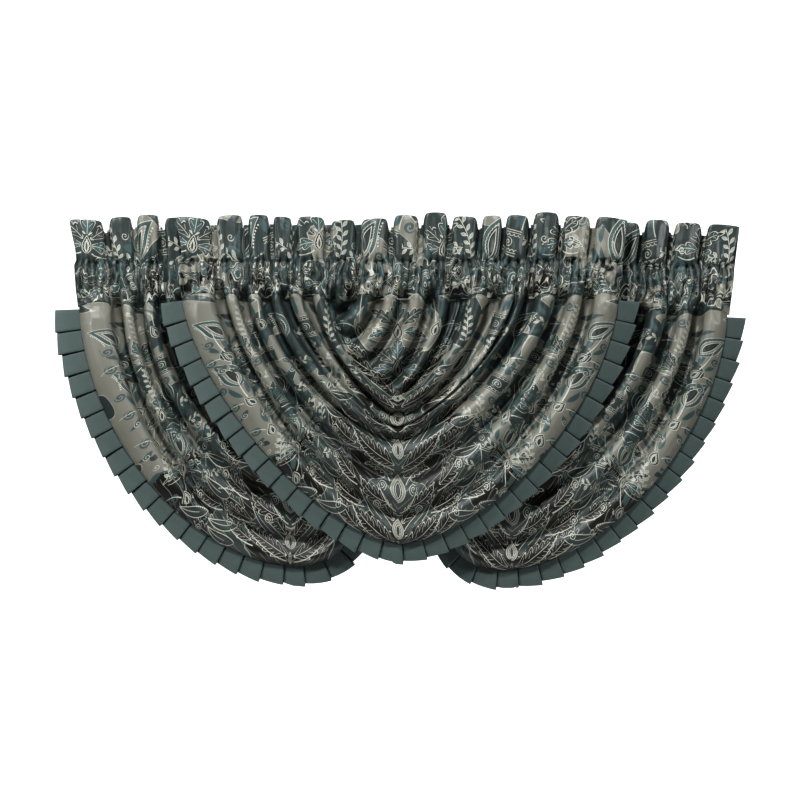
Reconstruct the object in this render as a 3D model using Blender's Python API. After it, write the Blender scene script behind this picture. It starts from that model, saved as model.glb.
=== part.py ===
"""Waterfall valance: three gathered swags of patterned cloth hung one over the other, one in front of two.

Each swag is a rod-pocket heading, a draped panel and a knife-pleated trim. Metres, +Z up, the front faces -Y.
The origin is in the middle of the top edge, halfway between the line of the front swag and that of the two behind.
"""

import math
from collections import namedtuple

import bmesh
import bpy
import numpy as np

# The two pocket lines, in front of and behind the origin.
POCKET_LINE = 0.024
# The cloth as modelled, and the gap that sewn pieces keep to each other.
CLOTH = 0.003
SEAM_GAP = 0.0005
# The rod pocket opens this far below the upper stitch line and closes this far above the lower one.
POCKET_INSET = 0.006
# The panel hangs from a line this far in front of the pocket's own middle.
PANEL_FORWARD = 0.004
# The trim's width under the lowest point, and how far it is tucked in behind the cloth's edge.
TRIM_FOOT = 0.045
TRIM_TUCK = 0.005
# A knife pleat: its length along the edge, the step from its fold to the next, and how far its corner stands out.
PLEAT_LENGTH = 0.054
PLEAT_STEP = 0.004
PLEAT_CORNER = 0.008
PLEAT_FOLD = 0.0015
TRIM_BACKING = 0.003
TRIM_START = 0.006
# The lower edge of the trim swings back by this share of its width at the lowest point.
TRIM_SWING = 0.25

# A line along the panel, crest or valley, from its end at the heading on the left, by its lowest point, to the right.
# left, right: how far its ends lie from the panel's middle. drop: how far its lowest point lies below the heading.
# round: the exponent of its curve on that side, 1 a straight V and 2 a round U.
# ahead: how far it stands in front of the heading's seam at the left end, the lowest point and the right end.
Line = namedtuple(
    "Line",
    "name left drop right left_round right_round ahead_left ahead_low ahead_right",
)
LINES = [
    Line("cowl_valley", 0.137, 0.258, 0.190, 2.00, 1.40, -0.008, 0.016, -0.008),
    Line("cowl", 0.168, 0.284, 0.244, 2.00, 1.45, 0.012, 0.048, 0.012),
    Line("cowl_foot", 0.207, 0.310, 0.284, 1.85, 1.40, -0.012, 0.027, -0.012),
    Line("bright_fold", 0.263, 0.338, 0.299, 1.66, 1.36, 0.012, 0.042, 0.011),
    Line("split", 0.297, 0.344, 0.310, 1.55, 1.36, -0.008, 0.043, 0.013),
    Line("slim_fold", 0.318, 0.349, 0.321, 1.46, 1.36, 0.011, 0.042, 0.012),
    Line("third_valley", 0.344, 0.376, 0.341, 1.44, 1.38, -0.012, 0.026, -0.012),
    Line("third_fold", 0.376, 0.420, 0.389, 1.44, 1.40, 0.011, 0.037, 0.013),
    Line("fourth_valley", 0.407, 0.478, 0.431, 1.40, 1.40, -0.012, 0.020, -0.012),
    Line("fourth_fold", 0.436, 0.538, 0.465, 1.37, 1.42, 0.011, 0.033, 0.012),
    Line("outer_valley", 0.462, 0.588, 0.499, 1.38, 1.48, -0.012, 0.016, -0.013),
    Line("outer_fold", 0.504, 0.630, 0.538, 1.40, 1.54, 0.012, 0.027, 0.013),
    Line("edge", 0.567, 0.646, 0.580, 1.46, 1.60, -0.002, 0.010, -0.002),
]
# Between a valley and a crest the cloth rises like the side of a tube. This share of the way is even instead.
EVEN_SHARE = 0.3
# At the seam the folds are drawn in to this share of their depth. They are full this share of the way down.
DRAWN_IN = 0.5
FULL_FROM = 0.08

# The folds that hang inside the cowl: where each line starts along the heading, as a share of that stretch, and
# how far it stands ahead there. They run down to the left and end behind the cowl's left limb.
InnerLine = namedtuple("InnerLine", "share ahead")
INNER_LINES = [
    InnerLine(0.0, -0.008),
    InnerLine(0.056, 0.006),
    InnerLine(0.120, -0.010),
    InnerLine(0.204, 0.006),
    InnerLine(0.288, 0.012),
    InnerLine(0.372, 0.006),
    InnerLine(0.456, -0.011),
    InnerLine(0.528, 0.010),
    InnerLine(0.610, -0.012),
    InnerLine(0.673, 0.008),
    InnerLine(0.736, 0.013),
    InnerLine(0.848, -0.012),
    InnerLine(0.920, 0.009),
    InnerLine(1.0, -0.008),
]

# One gathered loop of the heading: its width, and how far its two upper corners stand above the heading's top.
Loop = namedtuple("Loop", "width rise_left rise_right")
FRONT_LOOPS = [
    Loop(0.100, 0.000, -0.010),
    Loop(0.084, 0.001, 0.003),
    Loop(0.066, 0.003, 0.003),
    Loop(0.060, 0.001, -0.004),
    Loop(0.089, 0.000, -0.003),
    Loop(0.079, -0.012, -0.008),
    Loop(0.087, -0.009, -0.004),
    Loop(0.079, 0.003, 0.000),
    Loop(0.075, 0.009, 0.009),
    Loop(0.080, 0.000, -0.003),
    Loop(0.062, 0.000, 0.001),
    Loop(0.072, 0.003, -0.001),
    Loop(0.079, 0.010, 0.009),
    Loop(0.083, 0.001, -0.002),
    Loop(0.091, 0.001, -0.010),
]
LEFT_LOOPS = [
    Loop(0.096, 0.000, -0.005),
    Loop(0.071, 0.003, 0.006),
    Loop(0.071, 0.010, 0.010),
    Loop(0.078, 0.003, 0.000),
] + [Loop(0.080, 0.000, 0.000)] * 6
RIGHT_LOOPS = [Loop(0.081, 0.000, 0.000)] * 6 + [
    Loop(0.087, 0.004, 0.003),
    Loop(0.075, 0.010, 0.009),
    Loop(0.084, 0.003, 0.001),
    Loop(0.091, 0.001, -0.006),
]
# The heading's section, top to bottom. stage: 0 at the top edge, 1 at the upper stitch line, 2 at the panel's seam.
# front, back: how far the cloth stands before and behind the pocket's middle. loop: how deep the wide loops wave
# there, and gather: how deep the small gathers do.
Row = namedtuple("Row", "stage front back loop gather")
HEADING_ROWS = [
    Row(0.00, 0.0030, 0.0030, 0.010, 0.0000),
    Row(0.75, 0.0030, 0.0030, 0.009, 0.0010),
    Row(1.00, 0.0030, 0.0030, 0.003, 0.0040),
    Row(1.22, 0.0165, 0.0165, 0.001, 0.0030),
    Row(1.60, 0.0180, 0.0180, 0.001, 0.0035),
    Row(1.85, 0.0165, 0.0165, 0.001, 0.0035),
    Row(2.00, 0.0030, 0.0030, 0.000, 0.0050),
]
# Where the columns of a loop stand, as a share of its width, how far each waves with the loop and with the gathers,
# and how far its top edge dips.
Column = namedtuple("Column", "share loop gather dip")
COLUMNS = [
    Column(0.00, -1.0, -1.0, 0.008),
    Column(0.10, 0.6, 1.0, 0.001),
    Column(0.50, 1.0, -0.6, 0.000),
    Column(0.90, 0.6, 1.0, 0.001),
]

# A swag. line: its pocket's place before or behind the origin. top, stitch, seam: the heading's levels.
# upper, lower: the heading's two ends at the top and at the seam. middle: the panel's middle.
# left_share, right_share, drop_share: its size against the table of lines. set_back: how much less its low parts
# stand ahead. square_left, square_right: how much squarer its curves are on that side.
# trim_left, trim_right: the trim's width at its two ends. right_steps: its stations on the right.
Swag = namedtuple(
    "Swag",
    "name line top stitch seam upper lower middle left_share right_share drop_share "
    "set_back square_left square_right trim_left trim_right right_steps loops",
)
SWAGS = [
    Swag(
        "front", -POCKET_LINE, 0.0, -0.118, -0.212, (-0.588, 0.598), (-0.574, 0.575), -0.006, 1.0, 1.0, 1.0,
        0.0, 0.0, 0.0, 0.059, 0.050, 12, FRONT_LOOPS,
    ),
    Swag(
        "left", POCKET_LINE, -0.005, -0.120, -0.234, (-0.868, -0.053), (-0.846, -0.050), -0.289, 0.983, 0.410, 1.053,
        0.020, 0.30, 1.4, 0.057, 0.040, 6, LEFT_LOOPS,
    ),
    Swag(
        "right", POCKET_LINE, -0.018, -0.130, -0.255, (0.054, 0.896), (0.050, 0.869), 0.294, 0.428, 0.982, 1.035,
        0.020, 1.6, 0.08, 0.040, 0.036, 12, RIGHT_LOOPS,
    ),
]

SWAG_CLOTH = (0.20, 0.23, 0.22)
TRIM_CLOTH = (0.085, 0.13, 0.135)


def clear_scene():
    for old in list(bpy.data.objects):
        bpy.data.objects.remove(old, do_unlink=True)


def material(name, colour, roughness):
    made = bpy.data.materials.new(name)
    made.use_nodes = True
    shader = made.node_tree.nodes["Principled BSDF"]
    shader.inputs["Base Color"].default_value = (*colour, 1.0)
    shader.inputs["Roughness"].default_value = roughness
    shader.inputs["Metallic"].default_value = 0.0
    return made


def add_object(name, points, faces, finish):
    """A named object from points and faces, with its faces turned outwards."""
    mesh = bpy.data.meshes.new(name)
    mesh.from_pydata([tuple(float(c) for c in p) for p in points], [], faces)
    made = bmesh.new()
    made.from_mesh(mesh)
    bmesh.ops.recalc_face_normals(made, faces=made.faces)
    made.to_mesh(mesh)
    made.free()
    mesh.materials.append(finish)
    placed = bpy.data.objects.new(name, mesh)
    bpy.context.scene.collection.objects.link(placed)
    return placed


def thickened(points, faces, thickness):
    """A closed solid: the sheet, a copy of it moved back by its thickness, and walls along its border."""
    points = np.asarray(points, float)
    count = len(points)
    used = {}
    for face in faces:
        for a, b in zip(face, face[1:] + face[:1]):
            used.setdefault(frozenset((a, b)), []).append((a, b))
    walls = [(b, a, a + count, b + count) for (a, b), *more in used.values() if not more]
    back = [tuple(i + count for i in reversed(face)) for face in faces]
    both = np.concatenate([points, points + np.array([0.0, thickness, 0.0])])
    return both, list(faces) + back + walls


def eased(share):
    return share * share * (3.0 - 2.0 * share)


def line_point(swag, line, station):
    """A point of a panel line as x, ahead, z. station runs from -1 at the left end, by 0 at the lowest point, to 1."""
    on_left = station < 0.0
    reach = -line.left * swag.left_share if on_left else line.right * swag.right_share
    rounding = line.left_round + swag.square_left if on_left else line.right_round + swag.square_right
    turn = 0.5 * math.pi * abs(station)
    x = swag.middle + reach * math.sin(turn) ** (2.0 / rounding)
    z = swag.seam - SEAM_GAP - line.drop * swag.drop_share * max(math.cos(turn), 0.0) ** (2.0 / rounding)
    end = line.ahead_left if on_left else line.ahead_right
    low = line.ahead_low - swag.set_back
    drawn = DRAWN_IN + (1.0 - DRAWN_IN) * min((1.0 - abs(station)) / FULL_FROM, 1.0)
    ahead = (low + (end - low) * eased(abs(station))) * drawn
    return np.array([x, ahead, z])


def tube_side(share):
    """How far along and how high the cloth stands on its way from a valley to a crest."""
    turn = 0.5 * math.pi * share
    along = (1.0 - EVEN_SHARE) * (1.0 - math.cos(turn)) + EVEN_SHARE * share
    return along, math.sin(turn)


def between(valley, crest, share):
    along, height = tube_side(share)
    point = valley + (crest - valley) * along
    point[1] = valley[1] + (crest[1] - valley[1]) * height
    return point


def panel_row(swag, station, steps):
    """The panel's points across its folds at one station, from the cowl's valley out to the edge."""
    points = [line_point(swag, line, station) for line in LINES]
    row = [points[0]]
    for k in range(len(points) - 1):
        rising = k % 2 == 0
        for step in range(1, steps + 1):
            share = step / steps
            if rising:
                row.append(between(points[k], points[k + 1], share))
            else:
                row.append(between(points[k + 1], points[k], 1.0 - share))
    return row


def inner_point(swag, inner, down):
    """A point inside the cowl, on the fold that starts at inner, the share down of its way to the left limb."""
    start = line_point(swag, LINES[0], -1.0)
    stop = line_point(swag, LINES[0], 1.0)
    limb = line_point(swag, LINES[0], inner.share - 1.0)
    guide = line_point(swag, LINES[0], 1.0 - down)
    low = line_point(swag, LINES[0], 0.0)
    head = start + (stop - start) * inner.share
    x_share = (guide[0] - stop[0]) / (low[0] - stop[0])
    z_share = (guide[2] - stop[2]) / (low[2] - stop[2])
    drawn = DRAWN_IN + (1.0 - DRAWN_IN) * min(down / FULL_FROM, 1.0)
    fold = inner.ahead * (1.0 - down**4) * drawn
    return np.array(
        [
            head[0] + (limb[0] - head[0]) * x_share,
            fold + limb[1] * down,
            head[2] + (limb[2] - head[2]) * z_share,
        ]
    )


def panel_points(swag, steps=2):
    """The draped panel's front as points and faces, in x, ahead, z."""
    columns = len(INNER_LINES) - 1
    stations = [inner.share - 1.0 for inner in INNER_LINES]
    stations += [(k + 1) / swag.right_steps for k in range(swag.right_steps)]
    points, rows, faces = [], [], []
    for station in stations:
        row = panel_row(swag, station, steps)
        rows.append(range(len(points), len(points) + len(row)))
        points.extend(row)
    for a, b in zip(rows, rows[1:]):
        faces += [(a[k], a[k + 1], b[k + 1], b[k]) for k in range(len(a) - 1)]
    # The right limb is read from the top down, and its points are the last fold's.
    right_limb = [rows[-1 - k][0] for k in range(swag.right_steps + 1)]
    grid = [[rows[0][0]] * (swag.right_steps + 1)]
    for column in range(1, columns):
        line = []
        for step in range(swag.right_steps):
            line.append(len(points))
            points.append(inner_point(swag, INNER_LINES[column], step / swag.right_steps))
        grid.append(line + [rows[column][0]])
    grid.append(right_limb)
    for a, b in zip(grid, grid[1:]):
        for k in range(swag.right_steps):
            face = [a[k], a[k + 1], b[k + 1], b[k]]
            face = [v for i, v in enumerate(face) if v not in face[:i]]
            if len(face) > 2:
                faces.append(tuple(face))
    return points, faces


def panel_plane(swag):
    return swag.line - PANEL_FORWARD


def add_panel(swag, finish):
    points, faces = panel_points(swag)
    placed = [(x, panel_plane(swag) - ahead, z) for x, ahead, z in points]
    return add_object(f"{swag.name}_panel", *thickened(placed, faces, CLOTH), finish)


def edge_path(swag, count=400):
    """The panel's edge as points and outward directions, evenly spaced, and its length."""
    points = np.array([line_point(swag, LINES[-1], -1.0 + 2.0 * k / count) for k in range(count + 1)])
    level = points[:, [0, 2]]
    length = np.concatenate([[0.0], np.cumsum(np.linalg.norm(np.diff(level, axis=0), axis=1))])
    return points, length


def edge_frame(path, at):
    """The edge's point x, ahead, z at a length along it, and the direction outwards from it there."""
    points, length = path
    point = np.array([np.interp(at, length, points[:, k]) for k in range(3)])
    reach = 0.01
    a, b = max(at - reach, 0.0), min(at + reach, length[-1])
    run = np.array([np.interp(b, length, points[:, k]) - np.interp(a, length, points[:, k]) for k in (0, 2)])
    run /= np.linalg.norm(run)
    return point, np.array([run[1], -run[0]])


def trim_section(swag, path, at, step, corner):
    """The trim's four corners at a length along the edge: front inner, front outer, back outer, back inner."""
    point, outwards = edge_frame(path, at)
    hanging = max(0.0, -outwards[1])
    side = swag.trim_left if at < 0.5 * path[1][-1] else swag.trim_right
    width = side + (TRIM_FOOT - side) * hanging + corner
    inner = point[[0, 2]] - outwards * TRIM_TUCK
    outer = point[[0, 2]] + outwards * width
    front = point[1] - CLOTH - SEAM_GAP - step
    back = point[1] - CLOTH - SEAM_GAP - PLEAT_STEP - TRIM_BACKING
    swing = TRIM_SWING * width * hanging
    return [
        (inner[0], panel_plane(swag) - front, inner[1]),
        (outer[0], panel_plane(swag) - front + swing, outer[1]),
        (outer[0], panel_plane(swag) - back + swing, outer[1]),
        (inner[0], panel_plane(swag) - back, inner[1]),
    ]


def add_trim(swag, finish):
    """The knife-pleated strip: each pleat rises to the fold that lies over the start of the next."""
    path = edge_path(swag)
    whole = path[1][-1] - 2.0 * TRIM_START
    count = round(whole / PLEAT_LENGTH)
    points, faces = [], []
    for pleat in range(count):
        start = TRIM_START + whole * pleat / count + PLEAT_FOLD / 2.0
        end = TRIM_START + whole * (pleat + 1) / count - PLEAT_FOLD / 2.0
        points += trim_section(swag, path, start, PLEAT_STEP, 0.0)
        points += trim_section(swag, path, end, 0.0, PLEAT_CORNER)
    sections = 2 * count
    for k in range(sections - 1):
        a, b = 4 * k, 4 * (k + 1)
        faces += [(a + i, a + (i + 1) % 4, b + (i + 1) % 4, b + i) for i in range(4)]
    last = 4 * (sections - 1)
    faces += [(3, 2, 1, 0), (last, last + 1, last + 2, last + 3)]
    return add_object(f"{swag.name}_trim", points, faces, finish)


def heading_level(swag, stage, rise):
    """The height of a heading row: the upper part spans the top and the stitch line, the lower the stitch and seam."""
    if stage <= 1.0:
        return (swag.top + rise) * (1.0 - stage) + swag.stitch * stage
    return swag.stitch + (swag.seam + SEAM_GAP - swag.stitch) * (stage - 1.0)


def heading_columns(swag):
    """The heading's columns as the share of its width, the rise of its top edge, and its waves."""
    whole = sum(loop.width for loop in swag.loops)
    columns, begun = [], 0.0
    for loop in swag.loops:
        for column in COLUMNS:
            rise = loop.rise_left + (loop.rise_right - loop.rise_left) * column.share - column.dip
            columns.append(((begun + loop.width * column.share) / whole, rise, column.loop, column.gather))
        begun += loop.width
    last = swag.loops[-1]
    columns.append((1.0, last.rise_right, -0.2, -0.4))
    columns[0] = (0.0, swag.loops[0].rise_left, -0.2, -0.4)
    return columns


def heading_section(swag, share, rise, wave, gather):
    """One section across the heading: its outer outline from the top edge round, and its pocket's outline."""
    top_x = swag.upper[0] + (swag.upper[1] - swag.upper[0]) * share
    seam_x = swag.lower[0] + (swag.lower[1] - swag.lower[0]) * share
    front, back, pocket_front, pocket_back, middles = [], [], [], [], []
    for row in HEADING_ROWS:
        z = heading_level(swag, row.stage, rise)
        x = top_x + (seam_x - top_x) * row.stage / 2.0
        moved = -row.loop * wave - row.gather * gather
        open_here = 1.0 < row.stage < 2.0
        front_y = swag.line - row.front + moved
        back_y = swag.line + row.back + (-moved if open_here else moved)
        front.append((x, front_y, z))
        back.append((x, back_y, z))
        if open_here:
            pocket_front.append((x, front_y + CLOTH, z))
            pocket_back.append((x, back_y - CLOTH, z))
        elif row.stage >= 1.0:
            inset = -POCKET_INSET if row.stage < 2.0 else POCKET_INSET
            middles.append((x, swag.line + moved, z + inset))
    return front + back[::-1], [middles[0], *pocket_front, middles[1], *pocket_back[::-1]]


def end_faces(outline, pocket, stitch_row):
    """The faces that close one end of a heading: the doubled cloth above the stitch line and the pocket's two walls."""
    rows = len(outline) // 2
    front, back = outline[:rows], outline[:rows - 1:-1]
    faces = [(front[k], front[k + 1], back[k + 1], back[k]) for k in range(stitch_row)]
    half = len(pocket) // 2
    pocket_back = [pocket[0], *reversed(pocket[half:])]
    for outer, inner in ((front[stitch_row:], pocket[: half + 1]), (back[stitch_row:], pocket_back)):
        faces += [(outer[k], outer[k + 1], inner[k + 1], inner[k]) for k in range(half)]
    faces.append((front[stitch_row], back[stitch_row], pocket[0]))
    faces.append((front[-1], back[-1], pocket[half]))
    return faces


def add_heading(swag, finish):
    """The gathered heading: a strip doubled over and stitched twice, so that a pocket runs through it."""
    points, faces, outlines, pockets = [], [], [], []
    for share, rise, wave, gather in heading_columns(swag):
        outline, pocket = heading_section(swag, share, rise, wave, gather)
        outlines.append(list(range(len(points), len(points) + len(outline))))
        points += outline
        pockets.append(list(range(len(points), len(points) + len(pocket))))
        points += pocket
    for rings in (outlines, pockets):
        for a, b in zip(rings, rings[1:]):
            turned = zip(a, a[1:] + a[:1], b[1:] + b[:1], b)
            faces += [tuple(face) for face in turned]
    stitch_row = [row.stage for row in HEADING_ROWS].index(1.0)
    for k in (0, -1):
        faces += end_faces(outlines[k], pockets[k], stitch_row)
    return add_object(f"{swag.name}_heading", points, faces, finish)


def main():
    clear_scene()
    swag_cloth = material("jacquard", SWAG_CLOTH, 0.5)
    trim_cloth = material("trim_cloth", TRIM_CLOTH, 0.8)
    for swag in SWAGS:
        add_heading(swag, swag_cloth)
        add_panel(swag, swag_cloth)
        add_trim(swag, trim_cloth)


main()
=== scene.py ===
"""The look of the waterfall valance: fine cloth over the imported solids, its pattern, light and camera."""

import math
from collections import namedtuple

import bpy
import numpy as np
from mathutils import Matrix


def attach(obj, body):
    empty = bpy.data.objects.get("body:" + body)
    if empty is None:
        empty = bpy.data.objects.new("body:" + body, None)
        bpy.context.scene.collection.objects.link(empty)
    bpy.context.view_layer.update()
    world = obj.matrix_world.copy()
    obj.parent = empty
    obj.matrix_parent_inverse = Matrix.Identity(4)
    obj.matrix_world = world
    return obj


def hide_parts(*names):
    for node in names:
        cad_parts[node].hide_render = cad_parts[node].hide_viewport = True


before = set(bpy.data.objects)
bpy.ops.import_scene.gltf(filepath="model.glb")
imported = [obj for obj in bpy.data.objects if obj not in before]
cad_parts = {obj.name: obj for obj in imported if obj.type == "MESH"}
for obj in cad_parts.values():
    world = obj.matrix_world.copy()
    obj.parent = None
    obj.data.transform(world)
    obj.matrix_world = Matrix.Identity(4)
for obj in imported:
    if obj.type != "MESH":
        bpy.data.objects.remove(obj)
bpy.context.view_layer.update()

MM = 0.001
# One photograph pixel in metres, where the front swag's 474 pixels are 49 inches.
PIXEL = 1.245 / 474.0
FRAME_PIXELS = 800.0
# The photograph's row that the origin lies on, counted down from the middle of the frame.
ORIGIN_ABOVE_MIDDLE = 183.0
VALANCE_FRONT = 0.03

# All sizes are in metres, unless a comment says millimetres.
POCKET_LINE = 0.024
CLOTH = 0.0025
# Half the gap at the seam between a heading and its panel.
SEAM_GAP = 0.0003
# The seam's gap falls this steeply towards the back, so that no light comes through it.
SEAM_SLOPE = 0.25
HEM_DEPTH = 0.0032
# How far the pocket's two ends lie inside the stitch line and the seam.
POCKET_INSET = 0.006
PANEL_FORWARD = 0.004

# The trim: its width at the foot, how far it is tucked behind the panel, and its pleats.
TRIM_FOOT = 0.047
TRIM_TUCK = 0.005
PLEAT_LENGTH = 0.054
PLEAT_STEP = 0.0065
PLEAT_CORNER = 0.008
PLEAT_GAP = 0.0014
TRIM_BACKING = 0.0012
TRIM_START = 0.006
# How far its free edge swings back, as a share of its width.
TRIM_SWING = 0.02
# Across a pleat: each column's share of the way, and how far it lies behind the pleat's fold, in pleat steps.
PLEAT_COLUMNS = [
    (0.0, 2.1), (0.035, 1.05), (0.12, 0.86), (0.30, 0.66), (0.52, 0.42),
    (0.74, 0.18), (0.90, 0.02), (0.97, 0.06), (1.0, 0.35),
]
PLEAT_LEVELS = np.array([0.0, 0.12, 0.35, 0.62, 0.85, 0.97, 1.0])

# A line along the panel, crest or valley, from the heading on the left, by its lowest point, to the right.
Line = namedtuple("Line", "name left drop right left_round right_round ahead_left ahead_low ahead_right")
LINES = [
    Line("cowl_valley", 0.172, 0.258, 0.166, 1.55, 1.45, -0.022, 0.004, -0.022),
    Line("cowl", 0.207, 0.284, 0.207, 1.40, 1.38, 0.026, 0.052, 0.028),
    Line("cowl_foot", 0.236, 0.310, 0.258, 1.34, 1.38, -0.025, 0.012, -0.025),
    Line("bright_fold", 0.268, 0.338, 0.299, 1.22, 1.36, 0.032, 0.047, 0.026),
    Line("split", 0.297, 0.344, 0.310, 1.32, 1.36, -0.022, 0.036, 0.006),
    Line("slim_fold", 0.318, 0.349, 0.321, 1.46, 1.36, 0.026, 0.045, 0.024),
    Line("third_valley", 0.344, 0.376, 0.341, 1.44, 1.38, -0.025, 0.010, -0.025),
    Line("third_fold", 0.376, 0.420, 0.389, 1.44, 1.40, 0.030, 0.040, 0.032),
    Line("fourth_valley", 0.407, 0.478, 0.431, 1.40, 1.40, -0.025, 0.006, -0.025),
    Line("fourth_fold", 0.436, 0.538, 0.465, 1.37, 1.42, 0.030, 0.036, 0.032),
    Line("outer_valley", 0.462, 0.588, 0.499, 1.38, 1.48, -0.025, 0.004, -0.025),
    Line("outer_fold", 0.504, 0.635, 0.538, 1.40, 1.54, 0.033, 0.030, 0.034),
    Line("edge", 0.567, 0.652, 0.580, 1.46, 1.60, -0.002, 0.010, -0.002),
]
# Half of a fold's section, from the middle of its trough to its crest, in shares of its width and height.
# At the sides the folds are narrow tubes between dark troughs, and low down they are soft and wide.
Section = namedtuple("Section", "side_across side_up low_across low_up")
SECTIONS = [
    Section(0.00, 0.00, 0.00, 0.00),
    Section(0.18, 0.02, 0.09, 0.06),
    Section(0.32, 0.09, 0.19, 0.26),
    Section(0.41, 0.30, 0.30, 0.47),
    Section(0.47, 0.52, 0.42, 0.65),
    Section(0.55, 0.71, 0.56, 0.79),
    Section(0.67, 0.87, 0.70, 0.90),
    Section(0.82, 0.97, 0.85, 0.97),
    Section(1.00, 1.00, 1.00, 1.00),
]
# How blunt the lines are at their lowest point, from the cowl to the edge, as a share of their reach.
BLUNT = (0.015, 0.075)
# The folds are flatter at the seam, and full from FULL_FROM of the way to their lowest point.
DRAWN_IN = 0.75
FULL_FROM = 0.06
# The folds inside the cowl: shares of the way along the heading, and how many millimetres each stands ahead.
INNER_LINES = [
    (0, -15), (0.07, 12), (0.15, -22), (0.255, 22), (0.36, -30), (0.455, 20),
    (0.55, -30), (0.66, 26), (0.765, -30), (0.86, 22), (0.945, -22), (1, -15),
]

# One gathered loop of the heading: its width, and how far its two corners stand above the heading's top.
Loop = namedtuple("Loop", "width rise_left rise_right")


def loops(*rows):
    """Loops from rows of millimetres."""
    return [Loop(*(size * MM for size in row)) for row in rows]


FRONT_LOOPS = loops(
    (100, 0, -10), (84, 1, 3), (66, 3, 3), (60, 1, -4), (89, 0, -3),
    (79, -12, -8), (87, -9, -4), (79, 3, 0), (75, 9, 9), (80, 0, -3),
    (62, 0, 1), (72, 3, -1), (79, 10, 9), (83, 1, -2), (91, 1, -10),
)
LEFT_LOOPS = loops(
    (96, 0, -5), (71, 3, 6), (71, 10, 10), (78, 3, 0),
    *[(80, -16, -16)] * 6,
)
RIGHT_LOOPS = loops(
    *[(81, -12, -12)] * 6,
    (87, 4, 3), (75, 10, 9), (84, 3, 1), (91, 1, -6),
)
# The heading's section, from stage 0 at its top, by 1 at the stitch line, to 2 at the seam. In millimetres:
# how far the cloth stands from its middle, how deep its loops and gathers are, and how crumpled it is.
Row = namedtuple("Row", "stage half loop gather crumple")
HEADING_ROWS = [
    Row(0.00, 2, 15, 0, 0),
    Row(0.06, 3.4, 15.5, 0, 0.4),
    Row(0.50, 4, 16, 0, 1),
    Row(0.80, 5.4, 16.5, 0.6, 1.6),
    Row(0.90, 5.2, 13.5, 2.4, 2.6),
    Row(0.97, 3, 5, 7, 4),
    Row(1.00, 2.6, 3, 8, 4),
    Row(1.08, 6, 3, 8.4, 5),
    Row(1.25, 13.5, 2.4, 8.4, 6.6),
    Row(1.60, 15, 2, 8.2, 6.6),
    Row(1.85, 13, 1.6, 7, 5),
    Row(2.00, 4.5, 0, 2, 1),
]
# How much wider than its own cloth each loop would be without the dark gaps between them.
LOOP_GAP = 1.16
# The same for the outer half of the heading's two end loops, which have no gap beside them.
END_GAP = 0.80
# How far each loop draws in towards its middle above the stitch line.
LOOP_PINCH = 0.17
# The trim's flat length against the panel's edge.
PLEAT_FULLNESS = 1.25
# The strip's length against its loops' own, which the stitch lines draw in.
STRIP_SHARE = 0.85

# line: the pocket's place in depth. upper and lower: the heading's ends at its top and at its seam. Shares
# shorten the lines' reach, square values make their rounding squarer, and the steps are the panel's grid.
Swag = namedtuple(
    "Swag",
    "name line top stitch seam upper lower middle left_share right_share drop_share "
    "set_back square_left square_right trim_left trim_right left_steps right_steps loops seed",
)
SWAGS = [
    Swag(
        "front", -POCKET_LINE, 0.0, -0.118, -0.212, (-0.588, 0.598), (-0.574, 0.575), -0.006, 1.0, 1.0, 1.0,
        0.0, 0.0, 0.0, 0.059, 0.050, 140, 140, FRONT_LOOPS, 11,
    ),
    Swag(
        "left", POCKET_LINE, -0.005, -0.120, -0.234, (-0.872, -0.053), (-0.850, -0.050), -0.289, 0.983, 0.410,
        1.053, 0.020, 0.30, 1.4, 0.066, 0.042, 140, 60, LEFT_LOOPS, 23,
    ),
    Swag(
        "right", POCKET_LINE, -0.018, -0.130, -0.255, (0.054, 0.896), (0.050, 0.869), 0.294, 0.428, 0.982,
        1.035, 0.020, 1.6, 0.08, 0.040, 0.043, 60, 140, RIGHT_LOOPS, 37,
    ),
]
# How far the seam rises with the folds under it, for each metre they stand ahead.
SEAM_LIFT = 0.50
# How far the heading's ground leans from taupe to slate.
HEADING_SLATE = 0.026
# The cut cloth against the rows unrolled one by one, which fan out more than cloth can.
CUT = 0.90
# How far the folds wander from their tables.
WANDER = 0.0032
# The gathers below the seam: their pitch, their depth, and how far down they and the seam's lift fade.
GATHER_PITCH = 0.023
GATHER_DEPTH = 0.0060
GATHER_REACH = 0.026
LIFT_REACH = 0.016
# The same pitch in the heading's pocket, where the gathers are this deep when the cloth is fully taken up.
POCKET_GATHER_PITCH = 0.0215
POCKET_GATHER_DEPTH = 0.006
# The heading's level, across its loops, along which the strip's length is measured.
MEASURED_LEVEL = 6
# The flat cloth unrolls from a heart this far below the seam. Inside the cowl it is stretched this much.
HEART_DROP = 0.10
INNER_STRETCH = 1.3
# Where the front swag covers the two behind it, they are pressed back as far as SIDE_CLEAR, and the back of
# its heading stays before FRONT_CLEAR. The cover's end and fade are shares of the way out to its edge.
SIDE_CLEAR = 0.0125
FRONT_CLEAR = 0.004
COVER_END = 1.13
COVER_FADE = 0.10
HEADING_COVER_END = 0.63
HEADING_COVER_FADE = 0.04


# The folds, and the grids of points along them.


def eased(share):
    share = np.clip(share, 0.0, 1.0)
    return share * share * (3.0 - 2.0 * share)


def noise(x, y, seed):
    """Smooth noise between -1 and 1 from a seeded grid of one unit."""
    table = np.random.default_rng(seed).uniform(-1.0, 1.0, (64, 64))
    left, low = np.floor(x).astype(int), np.floor(y).astype(int)
    across, up = eased(x - left), eased(y - low)
    near = table[left % 64, low % 64] * (1 - across) + table[(left + 1) % 64, low % 64] * across
    far = table[left % 64, (low + 1) % 64] * (1 - across) + table[(left + 1) % 64, (low + 1) % 64] * across
    return near * (1 - up) + far * up


def puffs(phase):
    """A wave with round crests and sharp valleys, between -1 and 1."""
    return 2.0 * np.abs(np.cos(math.pi * phase)) ** 0.7 - 1.0


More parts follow.
